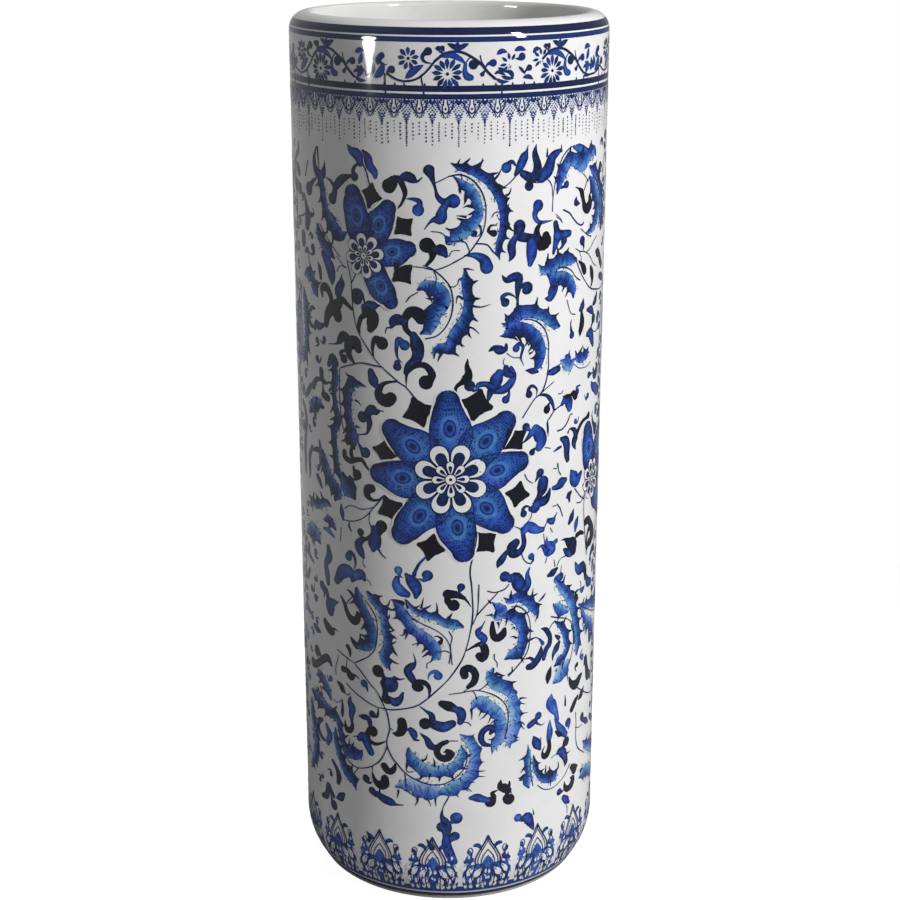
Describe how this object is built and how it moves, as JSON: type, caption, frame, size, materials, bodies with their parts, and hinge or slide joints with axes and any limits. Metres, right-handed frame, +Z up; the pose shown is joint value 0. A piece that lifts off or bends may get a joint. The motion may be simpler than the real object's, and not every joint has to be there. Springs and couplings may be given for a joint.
{
  "type": "umbrella stand",
  "caption": "Tall cylindrical porcelain umbrella stand with a rolled rim, rounded heel and foot ring, painted in cobalt blue scrolls on white under a clear glaze.",
  "frame": {"origin": "centre of the foot, on the floor", "axes": "+Z up along the axis of the jar; the large flower that the stand is shown from faces -Y"},
  "size_m": [0.212, 0.212, 0.61],
  "materials": {
    "outer_glaze": "clear glossy glaze over white porcelain with cobalt blue painting",
    "inner_glaze": "clear glossy glaze over plain white porcelain",
    "fired_clay": "fired white porcelain body, under the glaze",
    "bare_foot": "unglazed fired clay, rubbed smooth"
  },
  "bodies": {
    "root": {"outer_glaze": "outer_glaze", "inner_glaze": "inner_glaze", "rim_ring": "fired_clay", "upper_barrel": "fired_clay", "lower_barrel": "fired_clay", "floor_slab": "fired_clay", "foot_ring": "bare_foot"}
  },
  "joints": []
}
